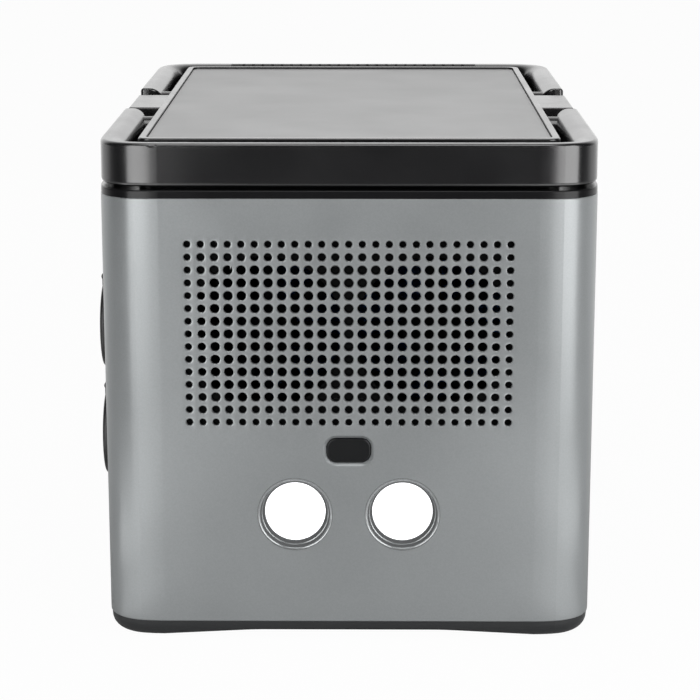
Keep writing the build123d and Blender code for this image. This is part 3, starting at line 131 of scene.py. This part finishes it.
def paint_shade_below(material, level):
    """Painted shade: takes the sheen off what lies below a level, where the handles shade it."""
    dull, glossy, edge = 0.12, 0.5, 0.2 * MM
    tree = material.node_tree
    place = tree.nodes.new("ShaderNodeTexCoord")
    split = tree.nodes.new("ShaderNodeSeparateXYZ")
    sheen = add(tree, "ShaderNodeMapRange", From_Min=level - edge, From_Max=level + edge,
                To_Min=dull, To_Max=glossy)
    tree.links.new(place.outputs["Object"], split.inputs["Vector"])
    tree.links.new(split.outputs["Z"], sheen.inputs["Value"])
    tree.links.new(sheen.outputs["Result"], tree.nodes["Principled BSDF"].inputs["Specular IOR Level"])


def metal(name, colour, roughness, grain, stretch=(1, 1, 1), depth=0.004 * MM):
    """Bare metal with fine brush or rolling marks."""
    material, tree, shader = new_material(name)
    marks = noise(tree, grain, detail=3.0, stretch=stretch)
    tree.links.new(shade(tree, colour, spread(tree, marks, 0.93, 1.07)), shader.inputs["Base Color"])
    tree.links.new(spread(tree, marks, roughness * 0.8, roughness * 1.2), shader.inputs["Roughness"])
    bump(tree, shader, marks, depth)
    set_inputs(shader, Metallic=1.0)
    return material


def glass(name, colour, roughness, **fixed):
    """Clear or tinted window with faint smears."""
    material, tree, shader = new_material(name)
    smear = noise(tree, 12 * MM, detail=3.0)
    tree.links.new(spread(tree, smear, roughness * 0.6, roughness * 1.4), shader.inputs["Roughness"])
    set_inputs(shader, Base_Color=(*colour, 1), **fixed)
    return material


def lamp_glow(name, strength):
    """A lit, lightly frosted lens: bright to its edge, with fine frost in its roughness and relief."""
    material, tree, shader = new_material(name)
    frost = noise(tree, 0.8 * MM)
    set_inputs(shader, Base_Color=(0.9, 0.92, 0.95, 1), Emission_Color=(1.0, 1.0, 1.0, 1),
               Emission_Strength=strength)
    tree.links.new(spread(tree, frost, 0.15, 0.3), shader.inputs["Roughness"])
    bump(tree, shader, frost, 0.01 * MM)
    return material


paint = moulded("satin_grey_paint", (0.246, 0.258, 0.262), 0.32, 0.7 * MM, 0.012 * MM,
                tint=0.035, Metallic=0.4)
# lighter copy of the case paint: painted highlight on the lamp rings' rims
ring_highlight_paint = moulded("lamp_ring_painted_highlight", (0.30, 0.312, 0.315), 0.2, 0.5 * MM, 0.003 * MM, Metallic=0.6)
# lighter copy of the case paint: painted highlight on the rims of the vent holes
rim_highlight_paint = moulded("vent_rim_painted_highlight", (0.36, 0.375, 0.38), 0.25, 0.5 * MM, 0.003 * MM, Metallic=0.6)
# dark copy of the case paint: painted shade on the lamp rings' slopes
ring_painted_shade = moulded("lamp_ring_painted_shade", (0.06, 0.062, 0.063), 0.6, 0.6 * MM, 0.006 * MM, IOR=1.2)
# near-black copy of the case paint: painted shade on the walls inside the vent holes
hole_painted_shade = moulded("vent_hole_painted_shade", (0.02, 0.021, 0.022), 0.7, 0.6 * MM, 0.006 * MM, IOR=1.2)
# near-black of the fan parts; on the handle stops and pins it is painted shade in the gap under the
# handles
bracket_black_and_painted_shade = moulded("fan_bracket_black_and_painted_shade", (0.0025, 0.0026, 0.0028), 0.8, 0.8 * MM, 0.01 * MM,
                        IOR=1.2)
SATIN_BLACK = {"colour": (0.006, 0.006, 0.0065), "roughness": 0.22, "grain": 0.5 * MM,
               "depth": 0.006 * MM, "IOR": 1.8}
black = moulded("satin_black_plastic", **SATIN_BLACK)
base_black = moulded("base_black_plastic", (0.0145, 0.0155, 0.0165), 0.36, 0.6 * MM, 0.01 * MM)
# the pad's own grey, made lighter as painted reflection of the bright space behind, seen at a grazing
# angle
pad_grey_and_painted_reflection = moulded("deck_pad_sheet_and_painted_reflection", (0.255, 0.256, 0.257), 0.42, 0.6 * MM, 0.01 * MM, IOR=1.6)
button_black = moulded("button_black", (0.004, 0.0044, 0.0048), 0.32, 0.4 * MM, 0.006 * MM, IOR=1.4)
panel_black = moulded("panel_black", (0.015, 0.015, 0.016), 0.42, 0.6 * MM, 0.014 * MM)
socket_black = moulded("socket_black", (0.012, 0.012, 0.013), 0.3, 0.5 * MM, 0.005 * MM)
lid_black = moulded("lid_black", (0.016, 0.016, 0.017), 0.4, 0.6 * MM, 0.012 * MM)
key_grey = moulded("key_grey", (0.10, 0.105, 0.11), 0.4, 0.5 * MM, 0.008 * MM)
rubber = moulded("grip_rubber", (0.012, 0.012, 0.012), 0.62, 0.5 * MM, 0.02 * MM, tint=0.06)
inner_black = moulded("inner_black_plastic", (0.010, 0.010, 0.010), 0.5, 0.8 * MM, 0.01 * MM)
foam = moulded("filter_foam", (0.012, 0.012, 0.012), 0.95, 1.2 * MM, 0.4 * MM, tint=0.3)
board_green = moulded("board_green", (0.01, 0.06, 0.03), 0.35, 2 * MM, 0.02 * MM, tint=0.12)
cell_wrap = moulded("cell_wrap_blue", (0.03, 0.10, 0.30), 0.3, 4 * MM, 0.01 * MM)
ferrite = moulded("ferrite_dark", (0.03, 0.03, 0.032), 0.55, 0.6 * MM, 0.02 * MM, tint=0.1)
led_silicone = moulded("led_silicone", (0.75, 0.70, 0.35), 0.3, 0.5 * MM, 0.003 * MM)
steel = metal("plated_steel", (0.62, 0.61, 0.58), 0.28, 0.6 * MM)
dark_steel = metal("blackened_steel", (0.03, 0.03, 0.032), 0.4, 0.6 * MM)
aluminium = metal("extruded_aluminium", (0.78, 0.78, 0.78), 0.34, 0.6 * MM, stretch=(1, 0.05, 1))
brass = metal("contact_brass", (0.82, 0.60, 0.28), 0.25, 0.6 * MM)
copper = metal("winding_copper", (0.72, 0.36, 0.20), 0.32, 0.5 * MM)
bright = metal("metallised_reflector", (0.86, 0.86, 0.86), 0.12, 1.0 * MM, depth=0.002 * MM)
display_tint = glass("display_glass", (0.012, 0.013, 0.015), 0.06, IOR=1.5)
lens_lit = lamp_glow("lit_lens", 1.0)
# the same satin black with painted shade: duller below the neck's top, under the handles
cover_black_painted_shade = moulded("satin_black_cover_painted_shade", **SATIN_BLACK)
neck_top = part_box("handle_bumpers")[0].z        # the stops stand on the neck of the top cover
paint_shade_below(cover_black_painted_shade, neck_top)

finishes = {
    paint: ["lamp_end_cover", "intake_end_cover", "back_cover", "vent_grille", "intake_grille",
            "lamp_bezels"],
    black: ["lamp_end_handle", "intake_end_handle"],
    cover_black_painted_shade: ["top_cover"],
    base_black: ["base_tray"],
    pad_grey_and_painted_reflection: ["deck_pad"],
    button_black: ["lamp_button"],
    panel_black: ["front_panel"],
    socket_black: ["upper_ac_socket", "lower_ac_socket", "car_socket", "dc_jacks"],
    lid_black: ["upper_socket_lid", "lower_socket_lid", "car_socket_lid"],
    key_grey: ["ac_button", "dc_button", "power_button"],
    rubber: ["lamp_end_grip", "intake_end_grip", "foot_pads"],
    inner_black: ["filter_frame", "push_switches", "coil_carrier", "cell_holders", "display_module"],
    # the handle stops and pins are in it as painted shade in the gap under the handles
    bracket_black_and_painted_shade: ["fan_bracket", "fan_frames", "fan_rotor_left", "fan_rotor_right", "handle_bumpers",
                    "handle_pins"],
    foam: ["intake_filter"],
    board_green: ["lamp_board", "panel_board", "bms_board", "inverter_board"],
    cell_wrap: ["battery_cells"],
    ferrite: ["transformer", "coil_ferrite"],
    led_silicone: ["lamp_leds"],
    steel: ["lid_pins", "tie_rods", "earth_clips", "usb_ports", "bus_bars"],
    dark_steel: ["screws"],
    aluminium: ["heatsinks", "capacitors"],
    brass: ["socket_contacts"],
    copper: ["charging_coil", "output_choke"],
    bright: ["lamp_reflectors"],
    display_tint: ["display_window"],
    lens_lit: ["lamp_lenses"],
}
for finish, names in finishes.items():
    for name in names:
        for material_slot in nodes[name].material_slots:
            material_slot.material = finish


# ---------------------------------------------------------------- mesh helpers
def middle(box):
    return (box[0] + box[1]) / 2


def new_piece(name, mesh_data, materials, body):
    """Turns a bmesh into a smoothly shaded piece of the scene that rides on a body."""
    mesh = bpy.data.meshes.new(name)
    mesh_data.to_mesh(mesh)
    mesh_data.free()
    for material in materials:
        mesh.materials.append(material)
    for face in mesh.polygons:
        face.use_smooth = True
    piece = bpy.data.objects.new(name, mesh)
    scene.collection.objects.link(piece)
    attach(piece, body)
    return piece


# ---------------------------------------------------------------- perforated vents
HOLE_SIDE = 6               # mesh edges along each side of a hole's cell
HOLE_POINTS = 4 * HOLE_SIDE
VENT_COLUMNS, VENT_ROWS = 25, 15                        # as in the solid
VENT_PITCH_X, VENT_PITCH_Z = 5.764 * MM, 5.61 * MM      # as in the solid
HOLE_RADII = (1.55 * MM, 1.79 * MM, 2.09 * MM)     # outermost ring, second ring, the rest
HOLE_BREAK = 0.38 * MM      # size of the rounded edge of each hole
HOLE_CURVE = ((1.0, 0.0), (0.35, 0.12), (0.08, 0.42), (0.0, 1.0))      # its shares outwards and inwards
PLATE, WALL, RIM = range(3)
VENT_FINISHES = [paint, hole_painted_shade, rim_highlight_paint]      # of the plate, the holes' walls in painted shade and their rims in a painted highlight
BAND_FINISHES = [PLATE] + [RIM] * (len(HOLE_CURVE) - 1) + [WALL, PLATE]     # from the face to the back
VENT_LAP = 0.4 * MM         # the plate runs in behind the cover's wall by this
VENT_SINK = 0.01 * MM       # its face is set back from the box of the solid by this
WELD = 0.005 * MM           # points of neighbouring cells that are nearer than this are joined
SHARP_VENT_EDGE = radians(32)


def cell_outline(left, right, low, high):
    """Evenly spaced points round a cell, from its low left corner, anticlockwise."""
    corners = [Vector((left, low)), Vector((right, low)), Vector((right, high)), Vector((left, high))]
    return [start.lerp(end, k / HOLE_SIDE)
            for start, end in zip(corners, corners[1:] + corners[:1]) for k in range(HOLE_SIDE)]


def circle_outline(x, z, radius):
    """Points round a hole, each opposite the same point of its cell's outline."""
    angles = [-0.75 * pi + 2 * pi * k / HOLE_POINTS for k in range(HOLE_POINTS)]
    return [(x + radius * cos(angle), z + radius * sin(angle)) for angle in angles]


def hole_rings(x, z, radius, cell, thickness):
    """Outlines and their depths, from the cell's edge over the rim and through the hole to the back."""
    rim = [(circle_outline(x, z, radius + outwards * HOLE_BREAK), inwards * HOLE_BREAK)
           for outwards, inwards in HOLE_CURVE]
    return [(cell, 0.0), *rim, (circle_outline(x, z, radius), thickness), (cell, thickness)]


def vent_plate(name, node, side):
    """Perforated plate with softened holes; side is -1 at the lamp end and 1 at the intake end."""
    low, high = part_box(node)
    face = (low.y if side < 0 else high.y) - side * VENT_SINK
    back = high.y if side < 0 else low.y
    centre = middle((low, high))
    half_x = (high.x - low.x) / 2 + VENT_LAP
    half_z = (high.z - low.z) / 2 + VENT_LAP
    between_x = [(k - VENT_COLUMNS / 2) * VENT_PITCH_X for k in range(1, VENT_COLUMNS)]
    between_z = [(k - VENT_ROWS / 2) * VENT_PITCH_Z for k in range(1, VENT_ROWS)]
    lines_x = [-half_x, *between_x, half_x]
    lines_z = [-half_z, *between_z, half_z]
    work = bmesh.new()
    for column in range(VENT_COLUMNS):
        for row in range(VENT_ROWS):
            from_edge = min(column, row, VENT_COLUMNS - 1 - column, VENT_ROWS - 1 - row)
            radius = HOLE_RADII[min(from_edge, len(HOLE_RADII) - 1)]
            x = (column - (VENT_COLUMNS - 1) / 2) * VENT_PITCH_X
            z = (row - (VENT_ROWS - 1) / 2) * VENT_PITCH_Z
            cell = cell_outline(lines_x[column], lines_x[column + 1], lines_z[row], lines_z[row + 1])
            loops = []
            for outline, depth in hole_rings(x, z, radius, cell, abs(back - face)):
                y = face - side * depth
                loops.append([work.verts.new((centre.x + u, y, centre.z + v)) for u, v in outline])
            for finish, outer, inner in zip(BAND_FINISHES, loops, loops[1:]):
                for k in range(HOLE_POINTS):
                    after = (k + 1) % HOLE_POINTS
                    quad = work.faces.new((outer[k], outer[after], inner[after], inner[k]))
                    quad.material_index = finish
    bmesh.ops.remove_doubles(work, verts=work.verts, dist=WELD)
    bmesh.ops.recalc_face_normals(work, faces=work.faces)
    piece = new_piece(name, work, VENT_FINISHES, "root")
    piece.data.set_sharp_from_angle(angle=SHARP_VENT_EDGE)
    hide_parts(node)


vent_plate("vent_plate", "vent_grille", -1)
vent_plate("intake_plate", "intake_grille", 1)


# ---------------------------------------------------------------- lamps
SHARP_LAMP_EDGE = radians(40)


def soften(corners, steps=6):
    """A closed outline from its corners, each given as x, y and the radius that rounds it."""
    points = [Vector((x, y)) for x, y, radius in corners]
    radii = [radius for x, y, radius in corners]
    outline = []
    for k, (here, radius) in enumerate(zip(points, radii)):
        if radius == 0:
            outline.append(tuple(here))
            continue
        before = (points[k - 1] - here).normalized()
        after = (points[(k + 1) % len(points)] - here).normalized()
        half = before.angle(after) / 2
        centre = here + (before + after).normalized() * radius / sin(half)
        start = here + before * radius / tan(half) - centre
        end = here + after * radius / tan(half) - centre
        turn = start.angle(end)
        for step in range(steps + 1):
            part = turn * step / steps
            outline.append(tuple(centre + (start * sin(turn - part) + end * sin(part)) / sin(turn)))
    return outline


def turned(work, profile, centre, segments=128, second=()):
    """Adds a body of revolution about a line along Y; profile is a closed loop of (radius, y).

    A point between two of the depths in second starts faces of the second material.
    """
    loops = []
    for k in range(segments):
        angle = 2 * pi * k / segments
        loops.append([work.verts.new((centre.x + r * cos(angle), centre.y + y, centre.z + r * sin(angle)))
                      for r, y in profile])
    for here, there in zip(loops, loops[1:] + loops[:1]):
        for j in range(len(profile)):
            k = (j + 1) % len(profile)
            face = work.faces.new((here[j], here[k], there[k], there[j]))
            face.material_index = int(any(low < profile[j][1] < high for low, high in second))


bezel_low, bezel_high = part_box("lamp_bezels")
lens_low, lens_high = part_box("lamp_lenses")
bezel_radius = (bezel_high.z - bezel_low.z) / 2
lens_radius = (lens_high.z - lens_low.z) / 2
lens_recess = lens_low.y - bezel_low.y
lamp_places = [Vector((x, bezel_low.y, middle((bezel_low, bezel_high)).z))
               for x in (bezel_low.x + bezel_radius, bezel_high.x - bezel_radius)]


def lamp_rings():
    """Painted rings: a soft rim, a slope down to the lens and a small ledge round it; the slopes carry
    painted shade and the rest a lighter paint as a painted highlight.
    """
    bore = lens_radius + 0.1 * MM
    wall = bezel_radius - 1.0 * MM
    lip = 0.8 * MM              # thickness of the flange at the front
    ledge = 2.6 * MM            # depth of the small ledge
    back = lens_recess + 1.0 * MM
    corners = [
        (bezel_radius, lip, 0),
        (bezel_radius, 0, 0),
        (bezel_radius - 0.85 * MM, 0, 1.2 * MM),
        (bezel_radius - 1.8 * MM, ledge, 0.15 * MM),
        (bezel_radius - 2.1 * MM, ledge + 0.1 * MM, 0.25 * MM),
        (bore, lens_recess - 1.0 * MM, 0.3 * MM),
        (bore, back, 0),
        (wall, back, 0),
        (wall, lip, 0),
    ]
    slopes = [(0.4 * MM, ledge - 0.2 * MM), (ledge + 0.15 * MM, back)]  # depths of the faces with painted shade
    work = bmesh.new()
    for place in lamp_places:
        turned(work, soften(corners), place, second=slopes)
    bmesh.ops.recalc_face_normals(work, faces=work.faces)
    piece = new_piece("lamp_rings", work, [ring_highlight_paint, ring_painted_shade], "root")
    piece.data.set_sharp_from_angle(angle=SHARP_LAMP_EDGE)
    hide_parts("lamp_bezels")


def lamp_discs():
    """Frosted lenses, slightly domed."""
    rise, steps = 0.6 * MM, 10
    pole = 0.02 * MM            # the turned disc keeps a pinhole of this radius in its middle
    dome = [(max(lens_radius * k / steps, pole), lens_recess - rise * (1 - (k / steps) ** 2))
            for k in range(steps + 1)]
    back = lens_high.y - lens_low.y + lens_recess
    work = bmesh.new()
    for place in lamp_places:
        turned(work, dome + [(lens_radius, back), (pole, back)], place)
    bmesh.ops.recalc_face_normals(work, faces=work.faces)
    piece = new_piece("lamp_discs", work, [lens_lit], "root")
    piece.data.set_sharp_from_angle(angle=SHARP_LAMP_EDGE)
    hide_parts("lamp_lenses")


lamp_rings()
lamp_discs()


# ---------------------------------------------------------------- floor, light and camera
CASE_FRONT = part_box("lamp_end_cover")[0].y
FLOOR_REACH = 12.0
LAMP_LIFT = 2 * MM          # of the lamps that lie on the floor


def seen_or_mirrored(tree):
    """1 for rays from the camera, and a second output that is 1 for reflected or refracted ones."""
    path = tree.nodes.new("ShaderNodeLightPath")
    either = tree.nodes.new("ShaderNodeMath")
    either.operation = "MAXIMUM"
    tree.links.new(path.outputs["Is Glossy Ray"], either.inputs[0])
    tree.links.new(path.outputs["Is Transmission Ray"], either.inputs[1])
    return path.outputs["Is Camera Ray"], either.outputs["Value"]


def product(tree, first, second):
    node = tree.nodes.new("ShaderNodeMath")
    node.operation = "MULTIPLY"
    tree.links.new(first, node.inputs[0])
    if isinstance(second, float):
        node.inputs[1].default_value = second
    else:
        tree.links.new(second, node.inputs[1])
    return node.outputs["Value"]


def floor(pale, dark, white):
    """A pale sheet that keeps the object's shadow, with a dark card on it in front of the object.

    It is nearly white to the camera and, behind the object, in reflections too.
    """
    material = bpy.data.materials.new("pale_floor")
    material.use_nodes = True
    tree = material.node_tree
    tree.nodes.clear()
    seen, mirrored = seen_or_mirrored(tree)
    place = tree.nodes.new("ShaderNodeTexCoord")
    split = tree.nodes.new("ShaderNodeSeparateXYZ")
    behind = add(tree, "ShaderNodeMapRange", From_Min=-0.1, From_Max=0.4, To_Min=0.0, To_Max=1.0)
    share = tree.nodes.new("ShaderNodeMath")
    share.operation = "MAXIMUM"
    card = add(tree, "ShaderNodeMapRange", From_Min=-0.5, From_Max=-0.22, To_Min=dark, To_Max=pale)
    diffuse = tree.nodes.new("ShaderNodeBsdfDiffuse")
    glow = add(tree, "ShaderNodeEmission", Color=(1, 1, 1, 1), Strength=1.0)
    mix = tree.nodes.new("ShaderNodeMixShader")
    out = tree.nodes.new("ShaderNodeOutputMaterial")
    tree.links.new(place.outputs["Object"], split.inputs["Vector"])
    tree.links.new(split.outputs["Y"], behind.inputs["Value"])
    tree.links.new(split.outputs["Y"], card.inputs["Value"])
    tree.links.new(card.outputs["Result"], diffuse.inputs["Color"])
    tree.links.new(seen, share.inputs[0])
    tree.links.new(product(tree, mirrored, behind.outputs["Result"]), share.inputs[1])
    tree.links.new(product(tree, share.outputs["Value"], white), mix.inputs["Fac"])
    tree.links.new(diffuse.outputs["BSDF"], mix.inputs[1])
    tree.links.new(glow.outputs["Emission"], mix.inputs[2])
    tree.links.new(mix.outputs["Shader"], out.inputs["Surface"])
    corners = [(-FLOOR_REACH, -FLOOR_REACH, 0), (FLOOR_REACH, -FLOOR_REACH, 0),
               (FLOOR_REACH, FLOOR_REACH, 0), (-FLOOR_REACH, FLOOR_REACH, 0)]
    mesh = bpy.data.meshes.new("floor")
    mesh.from_pydata(corners, [], [(0, 1, 2, 3)])
    mesh.materials.append(material)
    plane = bpy.data.objects.new("floor", mesh)
    scene.collection.objects.link(plane)


def area_lamp(name, place, turn, width, length, radiance, seen=False):
    """A rectangular lamp that shines along its own -Z."""
    light = bpy.data.lights.new(name, "AREA")
    light.shape = "RECTANGLE"
    light.size = width
    light.size_y = length
    light.energy = radiance * width * length * pi
    lamp = bpy.data.objects.new(name, light)
    lamp.location = place
    lamp.rotation_euler = turn
    lamp.visible_camera = seen
    scene.collection.objects.link(lamp)


def softbox(name, left, right, distance, low, high, radiance):
    """A tall lamp round the object, between two compass angles seen from the case's front."""
    middle_angle, spread_angle = radians((left + right) / 2), radians(right - left)
    height = (low + high) / 2
    place = Vector((distance * sin(middle_angle), CASE_FRONT - distance * cos(middle_angle), height))
    towards = Vector((0, CASE_FRONT, height)) - place
    area_lamp(name, place, towards.to_track_quat("-Z", "Y").to_euler(),
              2 * distance * tan(spread_angle / 2), high - low, radiance)


def floor_strip(name, corner_x, angle, reach, width, radiance):
    """A lamp lying on the floor that runs outwards from one of the front corners."""
    turn = radians(angle)
    place = (corner_x + reach / 2 * sin(turn), CASE_FRONT - reach / 2 * cos(turn), LAMP_LIFT)
    area_lamp(name, place, (pi, 0, -turn), width, reach, radiance)


def overhead(name, place, size, radiance):
    """A square lamp that shines straight down."""
    area_lamp(name, place, (0, 0, 0), size, size, radiance, seen=True)


def studio_world(ambient, dark):
    """White to the camera and, behind the object, in reflections; dark in front of it."""
    world = bpy.data.worlds.new("studio")
    world.use_nodes = True
    tree = world.node_tree
    tree.nodes.clear()
    seen, mirrored = seen_or_mirrored(tree)
    place = tree.nodes.new("ShaderNodeTexCoord")
    split = tree.nodes.new("ShaderNodeSeparateXYZ")
    fade = add(tree, "ShaderNodeMapRange", From_Min=0.30, From_Max=0.62, To_Min=dark, To_Max=1.0)
    white = add(tree, "ShaderNodeBackground", Color=(1, 1, 1, 1), Strength=1.0)
    reflected = add(tree, "ShaderNodeBackground", Color=(1, 1, 1, 1))
    lighting = add(tree, "ShaderNodeBackground", Color=(1, 1, 1, 1), Strength=ambient)
    gloss = tree.nodes.new("ShaderNodeMixShader")
    view = tree.nodes.new("ShaderNodeMixShader")
    out = tree.nodes.new("ShaderNodeOutputWorld")
    tree.links.new(place.outputs["Generated"], split.inputs["Vector"])
    tree.links.new(split.outputs["Y"], fade.inputs["Value"])
    tree.links.new(fade.outputs["Result"], reflected.inputs["Strength"])
    tree.links.new(mirrored, gloss.inputs["Fac"])
    tree.links.new(lighting.outputs["Background"], gloss.inputs[1])
    tree.links.new(reflected.outputs["Background"], gloss.inputs[2])
    tree.links.new(seen, view.inputs["Fac"])
    tree.links.new(gloss.outputs["Shader"], view.inputs[1])
    tree.links.new(white.outputs["Background"], view.inputs[2])
    tree.links.new(view.outputs["Shader"], out.inputs["Surface"])
    scene.world = world


floor(pale=0.5, dark=0.06, white=0.97)
studio_world(ambient=0.25, dark=0.03)
softbox("left_strip", left=-48, right=-20, distance=0.55, low=0.0, high=0.7, radiance=4.2)
softbox("right_strip", left=27, right=68, distance=0.55, low=0.0, high=0.7, radiance=4.2)
floor_strip("left_floor_strip", corner_x=-0.1, angle=-25, reach=0.36, width=0.09, radiance=2.4)
floor_strip("right_floor_strip", corner_x=0.1, angle=36, reach=0.36, width=0.11, radiance=2.0)
floor_strip("left_corner_strip", corner_x=-0.1, angle=-25, reach=0.1, width=0.05, radiance=0.9)
floor_strip("right_corner_strip", corner_x=0.1, angle=36, reach=0.1, width=0.06, radiance=0.7)
softbox("back_wall", left=130, right=230, distance=1.3, low=0.0, high=1.2, radiance=0.36)
overhead("top_light", place=(0.0, -0.3, 1.4), size=0.7, radiance=3.2)

CAMERA_PLACE = (0.01092, -1.100, 0.35538)
CAMERA_TILT, CAMERA_TURN = radians(76.644), radians(0.420)
camera_data = bpy.data.cameras.new("camera")
camera_data.lens = 115.25
camera_data.sensor_width = 36.0
camera = bpy.data.objects.new("camera", camera_data)
camera.location = CAMERA_PLACE
camera.rotation_euler = (CAMERA_TILT, 0.0, CAMERA_TURN)
scene.collection.objects.link(camera)
scene.camera = camera
scene.view_settings.view_transform = "Standard"
